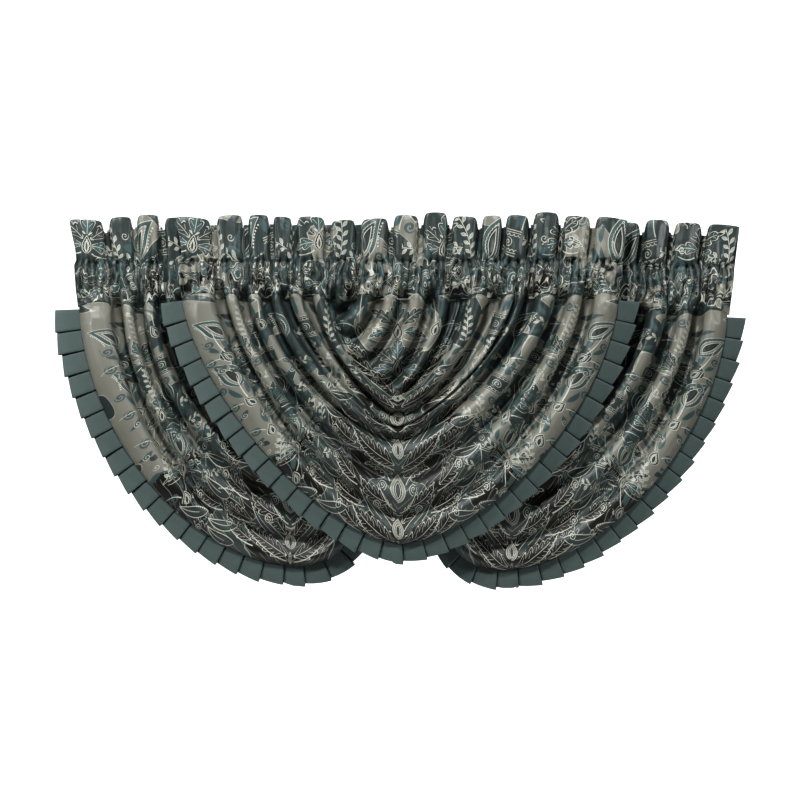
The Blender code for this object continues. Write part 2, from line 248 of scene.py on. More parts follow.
def panel_plane(swag):
    """The depth that the panel's folds are measured from, forwards."""
    return swag.line - PANEL_FORWARD


def line_points(swag, stations):
    """Every line's points, [station, line, (x, ahead, z)]. Stations run from -1 by 0, low down, to 1."""
    table = np.array([line[1:] for line in LINES])
    left, drop, right, left_round, right_round, ahead_left, ahead_low, ahead_right = table.T
    at = np.asarray(stations, float)[:, None]
    on_left = at < 0.0
    reach = np.where(on_left, -left * swag.left_share, right * swag.right_share)
    rounding = np.where(on_left, left_round + swag.square_left, right_round + swag.square_right)
    turn = 0.5 * math.pi * np.abs(at)
    x = swag.middle + reach * np.sin(turn) ** (2.0 / rounding)
    deep = np.maximum(np.cos(turn), 0.0) ** (2.0 / rounding)
    share = np.sin(turn) ** (2.0 / rounding)
    blunt = np.linspace(*BLUNT, len(LINES))
    deep = deep - ((share**2 + blunt**2) ** (0.5 * rounding) - share**rounding) / rounding
    z = swag.seam - SEAM_GAP - drop * swag.drop_share * np.maximum(deep, 0.0)
    low = ahead_low - swag.set_back
    end = np.where(on_left, ahead_left, ahead_right)
    drawn = DRAWN_IN + (1.0 - DRAWN_IN) * eased((1.0 - np.abs(at)) / FULL_FROM)
    ahead = (low + (end - low) * eased(np.abs(at))) * drawn
    return np.stack([x, ahead, z], axis=-1)


def outer_grid(swag, stations):
    """The panel outside the cowl, [station, column, (x, ahead, z)], and each column's place on the lines."""
    lines = line_points(swag, stations)
    wander = np.arange(len(LINES))[None, :] * 5.3 + 0.0 * stations[:, None]
    along = stations[:, None] * 3.5 + 9.0
    loose = (1.0 - stations[:, None] ** 4) * WANDER
    loose = loose * np.array([0.4] + [1.0] * (len(LINES) - 3) + [0.6, 0.0])
    lines[..., 0] += noise(wander, along, swag.seed + 10) * loose
    lines[..., 2] += noise(wander + 2.6, along, swag.seed + 11) * loose
    lines[..., 1] += noise(wander + 1.3, along * 1.4, swag.seed + 12) * loose * 1.2
    to_side = eased(np.abs(stations) * 1.6)[:, None]
    last = len(SECTIONS) - 1
    columns, places = [lines[:, 0]], [0.0]
    for k in range(len(LINES) - 1):
        rising = k % 2 == 0
        valley, crest = (lines[:, k], lines[:, k + 1]) if rising else (lines[:, k + 1], lines[:, k])
        for step in range(1, last + 1):
            section = SECTIONS[step if rising else last - step]
            across = section.low_across + (section.side_across - section.low_across) * to_side
            up = section.low_up + (section.side_up - section.low_up) * to_side
            if k == len(LINES) - 2:
                up = 1.0 - (1.0 - across) ** 2
            point = valley + (crest - valley) * across
            point[:, 1:2] = valley[:, 1:2] + (crest - valley)[:, 1:2] * up
            columns.append(point)
            places.append(k + step / last)
    return np.stack(columns, axis=1), np.array(places)


def inner_ahead(share):
    """How far the folds inside the cowl stand ahead, steep at each valley and round at each crest."""
    shares, heights = np.array(INNER_LINES).T
    k = np.clip(np.searchsorted(shares, share, side="right") - 1, 0, len(shares) - 2)
    part = (share - shares[k]) / (shares[k + 1] - shares[k])
    first, second = heights[k], heights[k + 1]
    section = np.array(SECTIONS)
    rising = np.interp(part, section[:, 0], section[:, 1])
    falling = np.interp(1.0 - part, section[:, 0], section[:, 1])
    ahead = np.where(second > first, first + (second - first) * rising, second + (first - second) * falling)
    return ahead * MM


def inner_grid(swag, left_limb, right_limb):
    """The panel inside the cowl, [share along the heading, way down, (x, ahead, z)], up to its two limbs."""
    start, stop, low = left_limb[0], right_limb[0], left_limb[-1]
    shares = np.linspace(0.0, 1.0, len(left_limb))
    downs = np.linspace(0.0, 1.0, len(right_limb))
    head = start + (stop - start) * shares[:, None]
    x_share = (right_limb[:, 0] - stop[0]) / (low[0] - stop[0])
    z_share = (right_limb[:, 2] - stop[2]) / (low[2] - stop[2])
    x = head[:, :1] + (left_limb[:, :1] - head[:, :1]) * x_share
    z = head[:, 2:] + (left_limb[:, 2:] - head[:, 2:]) * z_share
    drawn = DRAWN_IN + (1.0 - DRAWN_IN) * eased(downs / FULL_FROM)
    ahead = inner_ahead(shares)[:, None] * (1.0 - downs**4) * drawn + left_limb[:, 1:2] * downs
    ahead = ahead + (right_limb[:, 1] - ahead[-1]) * eased((shares[:, None] - 0.8) / 0.2)
    ahead = ahead + (left_limb[0, 1] - ahead[0]) * (1.0 - eased(shares[:, None] / 0.06))
    return np.stack([x, ahead, z], axis=-1)


def wrinkles(swag, place, station, point):
    """What the small folds add ahead: gathers that fade below the seam, and soft wrinkles along the folds."""
    below = np.maximum(swag.seam - point[..., 2], 0.0)
    x = point[..., 0]
    phase = x / GATHER_PITCH + 0.45 * noise(x / 0.05, below / 0.1, swag.seed)
    gathers = GATHER_DEPTH * np.exp(-below / GATHER_REACH) * puffs(phase)
    soft = noise(place * 2.3, station * 5.0, swag.seed + 1)
    soft = soft + 0.6 * noise(place * 5.1, station * 8.0, swag.seed + 2)
    fine = noise(place * 9.0, station * 14.0, swag.seed + 3)
    calm = eased(below / 0.03)
    return gathers + (0.0016 * soft + 0.0006 * fine) * calm


def seam_fall(swag, depth):
    """How much lower the seam's gap lies at its back. The front swag's is level, with cloth behind it."""
    return 0.0 if swag is SWAGS[0] else SEAM_SLOPE * depth


def covered(swag, point):
    """How far a point of a side swag lies behind the front swag, from 0 beside it to 1 well behind it."""
    front, edge = SWAGS[0], LINES[-1]
    if swag is front:
        return 0.0
    across, down = point[..., 0] - front.middle, np.maximum(front.seam - point[..., 2], 0.0)
    reach = np.where(across < 0.0, edge.left, edge.right)
    rounding = np.where(across < 0.0, edge.left_round, edge.right_round)
    out = ((np.abs(across) / reach) ** rounding + (down / edge.drop) ** rounding) ** (1.0 / rounding)
    return eased((COVER_END - out) / COVER_FADE)


class Panel:
    """One panel's grids: the points of its front, the cloth's own coordinates, and the faces."""

    def __init__(self, swag):
        left = np.linspace(-1.0, 0.0, swag.left_steps + 1)
        right = np.linspace(0.0, 1.0, swag.right_steps + 1)[1:]
        stations = np.concatenate([left, right])
        outer, places = outer_grid(swag, stations)
        left_limb = outer[: swag.left_steps + 1, 0].copy()
        right_limb = outer[swag.left_steps:, 0][::-1].copy()
        inner = inner_grid(swag, left_limb, right_limb)
        cloth_outer, cloth_inner = self.cloth(swag, outer, inner)
        lifts = [self.lift(swag, grid) for grid in (outer, inner)]
        place_grid, station_grid = np.meshgrid(places, stations)
        rim = eased((len(LINES) - 1 - place_grid) / 0.6)
        outer[..., 1] += wrinkles(swag, place_grid, station_grid, outer) * rim
        down = np.linspace(0.0, 1.0, inner.shape[1])[None, :]
        share = np.linspace(0.0, 1.0, inner.shape[0])[:, None]
        across, along = share * 6.0 + 20.0 + 0.0 * down, down * 1.5 + 0.0 * share
        own = wrinkles(swag, across, along, inner)
        inner[..., 1] += own * eased((1.0 - down) / 0.1) * eased((1.0 - share) / 0.1) * eased(share / 0.05)
        for grid, lift in zip((outer, inner), lifts):
            proud = np.maximum(grid[..., 1] - (panel_plane(swag) - SIDE_CLEAR), 0.0)
            grid[..., 1] -= covered(swag, grid) * proud
            grid[..., 2] += lift
        self.swag = swag
        self.join(outer, inner, cloth_outer, cloth_inner)

    def lift(self, swag, grid):
        """How far the seam rises with the folds under it."""
        below = np.maximum(swag.seam - grid[..., 2], 0.0)
        return SEAM_LIFT * np.maximum(grid[..., 1], -0.006) * np.exp(-below / LIFT_REACH)

    def cloth(self, swag, outer, inner):
        """Where each point lies on the flat cloth: every row unrolled outwards from the cowl."""
        heart = np.array([swag.middle, swag.seam - HEART_DROP])
        flat_inner = (inner[..., [0, 2]] - heart) * INNER_STRETCH
        start = (outer[:, 0][:, [0, 2]] - heart) * INNER_STRETCH
        step = np.diff(outer, axis=1)
        level = step[..., [0, 2]]
        flat_length = np.linalg.norm(level, axis=-1) + 1e-6
        real_length = np.linalg.norm(step, axis=-1)
        unrolled = level * (real_length / flat_length)[..., None]
        moved = np.concatenate([start[:, None], unrolled], axis=1)
        flat_outer = np.cumsum(moved, axis=1)
        return flat_outer - [0.0, HEART_DROP], flat_inner - [0.0, HEART_DROP]

    def join(self, outer, inner, cloth_outer, cloth_inner):
        """One list of points and faces out of the two grids, which share the cowl's limbs."""
        rows, columns = outer.shape[:2]
        left_steps, right_steps = inner.shape[0] - 1, inner.shape[1] - 1
        ids = np.arange(rows * columns).reshape(rows, columns)
        points, cloth = [outer.reshape(-1, 3)], [cloth_outer.reshape(-1, 2)]
        inside = np.full((left_steps + 1, right_steps + 1), -1)
        inside[0, :] = ids[0, 0]
        inside[:, -1] = ids[: left_steps + 1, 0]
        inside[-1, :] = ids[left_steps:, 0][::-1]
        fresh = inside < 0
        inside[fresh] = rows * columns + np.arange(fresh.sum())
        points.append(inner[fresh])
        cloth.append(cloth_inner[fresh])
        self.points = np.concatenate(points)
        self.flat = np.concatenate(cloth)
        quads = np.concatenate([grid_faces(ids), grid_faces(inside)[:, ::-1]]).tolist()
        self.faces = [tuple(dict.fromkeys(face)) for face in quads]
        top = np.concatenate([ids[0, ::-1], inside[1:-1, 0], ids[-1]])
        self.top = top
        self.top_x = self.points[top, 0]
        self.top_y = panel_plane(self.swag) - self.points[top, 1]
        self.top_z = self.points[top, 2]


def grid_faces(ids):
    """The four-sided faces of a grid of points."""
    return np.stack([ids[:-1, :-1], ids[:-1, 1:], ids[1:, 1:], ids[1:, :-1]], axis=-1).reshape(-1, 4)


def tube_faces(ids):
    """The same where each row of the grid is a closed ring."""
    return grid_faces(np.concatenate([ids, ids[:, :1]], axis=1))


def rim_faces(faces, count):
    """Walls between the border of a sheet and the same border of its copy, count further on."""
    used = {}
    for face in faces:
        for a, b in zip(face, face[1:] + face[:1]):
            key = (a, b) if a < b else (b, a)
            used[key] = None if key in used else (a, b)
    return [(b, a, a + count, b + count) for a, b in filter(None, used.values())]


def new_piece(name, points, faces, material, attributes=(), smooth=True):
    mesh = bpy.data.meshes.new(name)
    mesh.from_pydata(np.asarray(points, float).tolist(), [], faces, shade_flat=not smooth)
    for label, domain, values in attributes:
        made = mesh.attributes.new(label, "FLOAT_VECTOR", domain)
        made.data.foreach_set("vector", np.asarray(values, np.float32).ravel())
    mesh.materials.append(material)
    piece = bpy.data.objects.new(name, mesh)
    bpy.context.scene.collection.objects.link(piece)
    return piece


# The woven pattern. Each motif has a spine, straight or bent to an arc, and a place on the flat cloth.

TAUPE = (0.232, 0.232, 0.200)
PALE = (0.345, 0.350, 0.310)
TEAL = (0.062, 0.106, 0.109)
SLATE = (0.043, 0.060, 0.057)
DARK = (0.009, 0.009, 0.007)
CREAM = (0.54, 0.55, 0.48)
TRIM = (0.084, 0.114, 0.110)

ACANTHUS, FLAME, LEAF, PAISLEY, BAND, CURL, SPRIG, BEADS, SPIRAL, STEM = range(1, 11)
Motif = namedtuple("Motif", "kind u v angle length width bend fill")
Group = namedtuple("Group", "shapes lines")


def motif_row(kind, u, v, angle, length, width, bend, fill=None):
    return Motif(kind, u * MM, v * MM, angle, length * MM, width * MM, bend, fill)


def group(shapes, lines):
    """A group from rows of motifs, in millimetres and degrees around the group's own place.

    The shapes are woven below the lines, which have no fill. A motif with a positive bend turns to the left.
    """
    return Group([motif_row(*row) for row in shapes], [motif_row(*row) for row in lines])


PALMETTE = group(
    [
        (PAISLEY, 0, -52, 90, 60, 17, 0, DARK),
        (ACANTHUS, 0, 6, 90, 95, 26, 0, TEAL),
        (ACANTHUS, 14, -4, 48, 105, 22, -5, SLATE),
        (ACANTHUS, -14, -4, 132, 105, 22, 5, SLATE),
        (ACANTHUS, 18, -26, 8, 90, 20, -9, TEAL),
        (ACANTHUS, -18, -26, 172, 90, 20, 9, TEAL),
    ],
    [
        (STEM, 20, -50, -30, 70, 2, 14),
        (STEM, -20, -50, 210, 70, 2, -14),
    ],
)
BOUQUET = group(
    [
        (PAISLEY, -4, -58, 84, 62, 19, -6, SLATE),
        (LEAF, -12, 12, 118, 85, 9.5, -7, TEAL),
        (LEAF, 12, 12, 66, 90, 9.5, 6, TEAL),
        (LEAF, -34, 4, 150, 62, 8.5, -9, TEAL),
        (CURL, 56, -8, 0, 30, 21, 0, TEAL),
        (LEAF, 30, -52, -42, 60, 10, 9, TEAL),
        (LEAF, -26, -58, 228, 55, 9, -9, TEAL),
    ],
    [
        (STEM, 0, 0, 92, 120, 2.2, 3),
        (STEM, 24, -18, 40, 75, 2.2, -16),
        (SPRIG, -30, -22, 196, 60, 16, -10),
        (SPIRAL, 50, -70, 0, 30, 14, 0),
    ],
)
TEARDROP = group(
    [
        (PAISLEY, 10, -75, 100, 165, 38, -7, TEAL),
        (LEAF, -52, 10, 74, 65, 9, -9, TEAL),
        (LEAF, -58, -52, 96, 50, 9, -9, TEAL),
        (CURL, 68, -60, 0, 30, 19, 0, TEAL),
    ],
    [
        (BEADS, 58, -30, 104, 90, 3, -8),
        (SPRIG, -44, -90, 160, 60, 16, 8),
    ],
)
VINE = group(
    [
        (LEAF, 40, 30, 30, 70, 13, 8, SLATE),
        (LEAF, 30, -40, -20, 75, 13, -8, TEAL),
        (CURL, -45, 45, 0, 30, 20, 0, TEAL),
    ],
    [
        (SPRIG, -4, -80, 80, 150, 20, 4),
        (SPRIG, -12, -40, 150, 70, 17, 8),
        (SPIRAL, 48, -8, 0, 30, 14, 0),
    ],
)
BANDED = group(
    [
        (BAND, 0, -60, 90, 85, 40, 0, SLATE),
        (LEAF, -10, 34, 120, 75, 12, -9, TEAL),
        (LEAF, 14, 34, 60, 75, 12, 9, TEAL),
        (CURL, 0, -88, 0, 30, 19, 0, TEAL),
    ],
    [(SPIRAL, 0, -18, 0, 30, 17, 0), (STEM, 38, 30, 100, 70, 2, -9)],
)
FAN = group(
    [
        (PAISLEY, 0, -34, 90, 56, 18, 0, TAUPE),
        (ACANTHUS, 12, -52, 18, 185, 26, 2.4, DARK),
        (FLAME, 16, -22, 34, 165, 15, 2, SLATE),
        (ACANTHUS, 14, 10, 56, 110, 22, -3, DARK),
        (CURL, 150, 30, 0, 30, 18, 0, SLATE),
    ],
    [(STEM, 12, -66, 8, 180, 2, 4.5), (SPIRAL, 75, 52, 0, 30, 15, 0)],
)
SCROLLS = group(
    [
        (ACANTHUS, -50, -50, 30, 170, 27, 3.4, DARK),
        (ACANTHUS, -30, -8, 58, 120, 24, -5, SLATE),
        (FLAME, 20, -60, 6, 140, 17, 5, SLATE),
        (LEAF, 85, 40, 70, 60, 12, 8, SLATE),
    ],
    [
        (SPIRAL, 48, 12, 0, 30, 18, 0),
        (STEM, -60, -70, 16, 180, 2, 4.5),
        (BEADS, 0, 60, 40, 80, 3, -8),
    ],
)
MEDALLION = group(
    [
        (PAISLEY, 0, -40, 90, 80, 27, 0, TAUPE),
        (ACANTHUS, 34, -50, 4, 130, 24, 7, DARK),
        (ACANTHUS, 20, 34, 38, 110, 21, -8, SLATE),
        (CURL, 82, 30, 0, 30, 19, 0, DARK),
        (LEAF, 120, 10, 60, 60, 11, 10, DARK),
    ],
    [
        (STEM, 6, -70, 20, 100, 2, 9),
        (STEM, 30, 10, 70, 70, 2, -14),
        (SPIRAL, 58, -4, 0, 30, 19, 0),
    ],
)
Place = namedtuple("Place", "group u v turn grow")
# Where the groups lie on one half of the cloth, in millimetres and degrees, and their size. It is mirrored.
PLACES = [
    (FAN, 0, -310, 0, 1.05), (MEDALLION, 0, -430, 0, 0.95), (FAN, 0, -560, 0, 1.15),
    (MEDALLION, 0, -690, 0, 1.05), (FAN, 0, -810, 0, 1.1), (PALMETTE, 0, -60, 0, 1),
    (BOUQUET, 130, -53, -3, 0.85), (VINE, 262, -48, -6, 0.95), (BANDED, 395, -48, -13, 0.95),
    (TEARDROP, 525, -61, -33, 0.85), (BOUQUET, 655, -56, -21, 0.9), (VINE, 780, -71, -27, 0.95),
    (TEARDROP, 905, -107, -41, 0.9), (PALMETTE, 0, -190, 0, 0.95), (SCROLLS, 125, -188, -5, 0.8),
    (TEARDROP, 245, -198, -21, 0.8), (VINE, 370, -178, -21, 0.9), (BOUQUET, 490, -200, -17, 0.85),
    (BANDED, 615, -200, -22, 0.95), (PALMETTE, 735, -200, -31, 0.85), (BOUQUET, 855, -220, -48, 0.95),
    (SCROLLS, 190, -328, -14, 0.85), (BOUQUET, 325, -310, -5, 0.8), (BANDED, 450, -307, -24, 0.95),
    (TEARDROP, 570, -315, -25, 0.85), (VINE, 690, -308, -37, 0.95), (TEARDROP, 800, -307, -32, 0.9),
    (SCROLLS, 220, -426, -2, 0.9), (VINE, 365, -429, -19, 0.9), (BOUQUET, 490, -432, -29, 0.9),
    (PALMETTE, 610, -417, -31, 0.9), (BOUQUET, 735, -415, -43, 0.9), (SCROLLS, 225, -525, -13, 0.95),
    (BANDED, 370, -521, -10, 0.9), (TEARDROP, 490, -521, -26, 0.85), (BOUQUET, 625, -532, -24, 0.9),
    (SCROLLS, 215, -633, 0, 0.95), (BOUQUET, 355, -610, -11, 0.85), (PALMETTE, 480, -612, -31, 0.9),
    (VINE, 560, -618, -28, 0.8), (SCROLLS, 200, -728, -19, 0.9), (SCROLLS, 330, -702, -21, 0.85),
    (BOUQUET, 440, -708, -26, 0.8), (SCROLLS, 190, -788, 0, 0.85), (SCROLLS, 310, -804, -17, 0.8),
]


def panel_places():
    """The panel's groups at their places, in metres."""
    return [Place(motifs, u * MM, v * MM, turn, grow) for motifs, u, v, turn, grow in PLACES]


def spine_coordinates(flat, motif):
    """How far along a motif's spine each point lies, and how far to its left."""
    turn = math.radians(motif.angle)
    du, dv = flat[:, 0] - motif.u, flat[:, 1] - motif.v
    along = du * math.cos(turn) + dv * math.sin(turn)
    left = dv * math.cos(turn) - du * math.sin(turn)
    if motif.bend == 0:
        return along, left
    side, radius = math.copysign(1.0, motif.bend), 1.0 / abs(motif.bend)
    reach = np.hypot(along, radius - side * left)
    return np.arctan2(along, radius - side * left) * radius, side * (radius - reach)


def motif_distance(motif, along, left):
    """Roughly how far outside the motif each point lies."""
    if motif.kind in (CURL, SPIRAL):
        return np.hypot(along, left) - motif.width
    share = np.clip(along / motif.length, 0.0, 1.0)
    half = motif.width
    if motif.kind in (ACANTHUS, FLAME, LEAF, PAISLEY):
        half = motif.width * np.sin(math.pi * share**0.7)
    past = np.maximum(np.maximum(-along, along - motif.length), 0.0)
    inside = np.maximum(half - np.abs(left), 0.0) * (past == 0)
    return np.hypot(np.maximum(np.abs(left) - half, 0.0), past) - inside


def placed(places, layer):
    """Every motif of one layer, at its place on the cloth."""
    motifs = []
    for place in places:
        turn = math.radians(place.turn)
        for motif in place.group[layer]:
            u, v = motif.u * place.grow, motif.v * place.grow
            motifs.append(
                motif._replace(
                    u=place.u + u * math.cos(turn) - v * math.sin(turn),
                    v=place.v + u * math.sin(turn) + v * math.cos(turn),
                    angle=motif.angle + place.turn,
                    length=motif.length * place.grow,
                    width=motif.width * place.grow,
                )
            )
    return motifs


def layer_attributes(label, motifs, corners, faces_of, middles):
    """One motif for each face, the first that covers it or else the nearest, with its own coordinates."""
    best, chosen = np.full(len(middles), 1.0), np.zeros(len(middles), int)
    covered = np.zeros(len(middles), bool)
    for number, motif in enumerate(motifs):
        distance = motif_distance(motif, *spine_coordinates(middles, motif))
        over = (distance < 0.005) & ~covered
        nearer = (over | (distance < best)) & ~covered
        best, chosen = np.where(nearer, distance, best), np.where(nearer, number, chosen)
        covered |= over
    spine = np.zeros((len(corners), 3))
    owner = chosen[faces_of]
    order = np.argsort(owner, kind="stable")
    edges = np.searchsorted(owner[order], np.arange(len(motifs) + 1))
    for number, motif in enumerate(motifs):
        mine = order[edges[number]: edges[number + 1]]
        spine[mine, 0], spine[mine, 1] = spine_coordinates(corners[mine], motif)
    table = np.array([(m.kind, m.width, m.length) for m in motifs], float)
    made = [(label + "_spine", "CORNER", spine), (label + "_shape", "FACE", table[chosen])]
    if motifs[0].fill:
        made.append((label + "_fill", "FACE", np.array([m.fill for m in motifs], float)[chosen]))
    return made


def ground_regions(flat, zone, bias):
    """Signed distances to the borders of the ground's regions, in metres or so, and the dark field's zone."""
    u, v = flat.T
    wave = np.cos(u * 17.0 + 1.3 * np.sin(v * 9.0)) * np.cos(v * 15.0 + 1.1 * np.sin(u * 11.0))
    wave = wave + 0.40 * np.cos(u * 37.0 + 2.0 + 1.5 * np.sin(v * 23.0)) * np.cos(v * 33.0 + u * 9.0)
    edge = eased((np.hypot(u, v) - 0.76) / 0.06) * eased((np.abs(u) - 0.3) / 0.15)
    return np.stack([wave / 20.0 - 0.002 + 0.040 * edge + bias, zone, 0.0 * u], axis=1)


def pattern_attributes(flat, faces, places, zone, mirrored, bias=0.0):
    """For every corner of the cloth's faces, its own coordinates on the motif that it shows."""
    sizes = np.array([len(face) for face in faces])
    vertices = np.concatenate([np.asarray(face) for face in faces])
    faces_of = np.repeat(np.arange(len(faces)), sizes)
    corners = flat[vertices].copy()
    middles = np.stack([np.bincount(faces_of, corners[:, k]) for k in (0, 1)], axis=1) / sizes[:, None]
    if mirrored:
        side = np.where(middles[:, 0] < 0.0, -1.0, 1.0)
        middles[:, 0] *= side
        corners[:, 0] *= side[faces_of]
    folded = np.stack([np.abs(flat[:, 0]) if mirrored else flat[:, 0], flat[:, 1]], axis=1)
    made = [
        ("region", "POINT", ground_regions(folded, zone, bias)),
        ("flat", "POINT", np.concatenate([flat, np.zeros((len(flat), 1))], axis=1)),
    ]
    for layer, label in enumerate(("shape", "line")):
        made += layer_attributes(label, placed(places, layer), corners, faces_of, middles)
    return made


def operator(operation):
    return lambda value, *others: value.step(operation, *others)


class Value:
    """A number in a shader. Arithmetic on it adds math nodes, and | takes the greater of two."""

    def __init__(self, tree, socket):
        self.tree, self.socket = tree, socket

    def step(self, operation, *others):
        node = self.tree.nodes.new("ShaderNodeMath")
        node.operation = operation
        for slot, value in zip(node.inputs, (self, *others)):
            if isinstance(value, Value):
                self.tree.links.new(value.socket, slot)
            else:
                slot.default_value = value
        return Value(self.tree, node.outputs[0])

    __add__, __sub__, __mul__ = operator("ADD"), operator("SUBTRACT"), operator("MULTIPLY")
    __truediv__, __mod__, __abs__ = operator("DIVIDE"), operator("FLOORED_MODULO"), operator("ABSOLUTE")
    __lt__, __gt__, __or__ = operator("LESS_THAN"), operator("GREATER_THAN"), operator("MAXIMUM")


def attribute(tree, name):
    """A vector attribute's three numbers and its whole socket."""
    node = tree.nodes.new("ShaderNodeAttribute")
    node.attribute_name = name
    split = tree.nodes.new("ShaderNodeSeparateXYZ")
    tree.links.new(node.outputs["Vector"], split.inputs[0])
    return [Value(tree, out) for out in split.outputs] + [node.outputs["Vector"]]


def mixed(tree, share, first, second):
    """A colour between two, each a socket or three numbers."""
    node = tree.nodes.new("ShaderNodeMix")
    node.data_type = "RGBA"
    tree.links.new(share.socket, node.inputs["Factor"])
    for slot, colour in ((node.inputs[6], first), (node.inputs[7], second)):
        if isinstance(colour, tuple):
            slot.default_value = (*colour, 1.0)
        else:
            tree.links.new(colour, slot)
    return node.outputs[2]


def texture_noise(tree, vector, scale, detail):
    node = tree.nodes.new("ShaderNodeTexNoise")
    node.inputs["Scale"].default_value = scale
    node.inputs["Detail"].default_value = detail
    tree.links.new(vector, node.inputs["Vector"])
    return Value(tree, node.outputs["Fac"])


class Layer:
    """One layer of motifs in the shader: its fills, its outlines, the paisleys' hearts and its painted shadow
    lines.
    """

    def __init__(self, tree, label, kinds):
        self.s, self.t, _, _ = attribute(tree, label + "_spine")
        self.kind, self.width, self.length, _ = attribute(tree, label + "_shape")
        self.colour = attribute(tree, label + "_fill")[3]
        self.side = abs(self.t)
        self.share = self.s / self.length
        self.within = (self.share > 0.0) * (self.share < 1.0)
        self.half = self.width * ((self.share | 0.0).step("POWER", 0.7) * math.pi).step("SINE")
        self.radius = (self.s * self.s + self.t * self.t).step("SQRT")
        self.angle = self.t.step("ARCTAN2", self.s)
        self.filled = self.lines = self.heart = self.painted_shadow = None
        for kind in kinds:
            kind(self)

    def add(self, kind, fill=None, lines=None, edge=None):
        this = abs(self.kind - kind) < 0.25
        # Painted shadow: a dark band just inside the motif's edge, as if its outline cast shade on the cloth.
        if edge is not None:
            painted_shadow = this * (abs(edge + 0.0028) < 0.0016)
            self.painted_shadow = painted_shadow if self.painted_shadow is None else self.painted_shadow | painted_shadow
        if fill is not None:
            self.filled = this * fill if self.filled is None else self.filled | this * fill
        if lines is not None:
            self.lines = this * lines if self.lines is None else self.lines | this * lines


def acanthus(layer):
    """A leaf with rounded lobes that sweep forwards, a midrib and a vein to each lobe."""
    lobe = ((layer.s - layer.side * 1.3) / 0.0300) % 1.0
    bump = abs(lobe - 0.5) * 2.0
    edge = layer.side - layer.half * (bump * bump * -0.55 + 1.0)
    veins = (abs(lobe - 0.62) < 0.028) * (layer.side < layer.half * 0.70) * (layer.side > layer.half * 0.20)
    lines = (abs(edge) < 0.0012) | ((layer.side < 0.0008) * (layer.share < 0.75)) | veins
    layer.add(ACANTHUS, (edge < 0.0) * layer.within, lines * layer.within, edge)


def flame(layer):
    """A long smooth leaf with a rib."""
    edge = layer.side - layer.half
    lines = (abs(edge) < 0.0013) | ((layer.side < 0.0009) * (layer.share > 0.3))
    layer.add(FLAME, (edge < 0.0) * layer.within, lines * layer.within, edge)


def leaf(layer):
    """A plain leaf with a thin light rib."""
    layer.add(LEAF, (layer.side < layer.half) * layer.within)


def paisley(layer):
    """A drop with a wide band, a row of scallops inside it and a dark heart."""
    edge = layer.side - layer.half
    ring = layer.width * -0.36
    scallop = abs(((layer.s / 0.0085) % 1.0 - 0.5)) * 0.0045
    inner = abs(edge - ring + scallop) < 0.0011
    core = edge - layer.width * -0.66
    lines = (abs(edge) < 0.0012) | inner | ((abs(core) < 0.0012) * (layer.share < 0.8))
    layer.add(PAISLEY, (edge < 0.0) * (edge > ring - scallop) * layer.within, lines * layer.within, core)
    layer.heart = (abs(layer.kind - PAISLEY) < 0.25) * (core < 0.0) * layer.within


def band(layer):
    """A stretch of plain cloth between two pairs of lines, with scallops inside."""
    middle = layer.length * 0.5
    end = middle - abs(layer.s - middle)
    inside = (layer.side < layer.width) * (end > 0.0)
    hop = ((layer.t / 0.0125) % 1.0 - 0.5) * 0.0125
    rise = end - 0.0105
    arc = (hop * hop + rise * rise).step("SQRT")
    arcs = (abs(arc - 0.0058) < 0.0009) * (rise > 0.0)
    lines = (abs(end - 0.0012) < 0.0010) | (abs(end - 0.0072) < 0.0009) | arcs
    layer.add(BAND, inside, lines * inside)


def curl(layer):
    """A solid spiral."""
    turns = (layer.radius / 0.0125 - layer.angle / (2.0 * math.pi)) % 1.0
    layer.add(CURL, (abs(turns - 0.5) < 0.29) * (layer.radius < layer.width))


def sprig(layer):
    """A stem with leaves on either side in turn."""
    turn = (layer.s + (layer.t > 0.0) * 0.0120) % 0.024 - 0.0120
    out = layer.side - 0.0090
    along = turn * 0.72 + out * 0.70
    across = abs(turn * -0.70 + out * 0.72)
    blade = across - (along * along * -50.0 + 0.0041)
    stalk = (layer.side < 0.0009) | ((across < 0.0006) * (layer.side < 0.009))
    lines = stalk | ((abs(blade) < 0.0007) * (layer.side < 0.018))
    layer.add(SPRIG, (blade < 0.0) * layer.within, lines * layer.within)


def beads(layer):
    """A row of round dots."""
    hop = layer.s % 0.0088 - 0.0044
    layer.add(BEADS, None, (hop * hop + layer.t * layer.t < 0.0025**2) * layer.within)


def spiral(layer):
    """A thin spiral."""
    turns = (layer.radius / 0.0078 - layer.angle / (2.0 * math.pi)) % 1.0
    layer.add(SPIRAL, None, (abs(turns - 0.5) < 0.13) * (layer.radius < layer.width))


def stem(layer):
    """A line that thins out to its tip."""
    layer.add(STEM, None, (layer.side < (layer.share * -0.0010 + 0.0018)) * layer.within)


def new_material(name, specular, sheen):
    material = bpy.data.materials.new(name)
    material.use_nodes = True
    shader = material.node_tree.nodes["Principled BSDF"]
    shader.inputs["Specular IOR Level"].default_value = specular
    shader.inputs["Sheen Weight"].default_value = sheen
    return material, material.node_tree, shader


def add_weave(tree, shader, height, strength, distance):
    bump = tree.nodes.new("ShaderNodeBump")
    bump.inputs["Strength"].default_value = strength
    bump.inputs["Distance"].default_value = distance
    tree.links.new(height.socket, bump.inputs["Height"])
    tree.links.new(bump.outputs["Normal"], shader.inputs["Normal"])


def waves(along, pitch):
    """A sine that repeats at every pitch, in metres."""
    return (along * (2.0 * math.pi / pitch)).step("SINE")


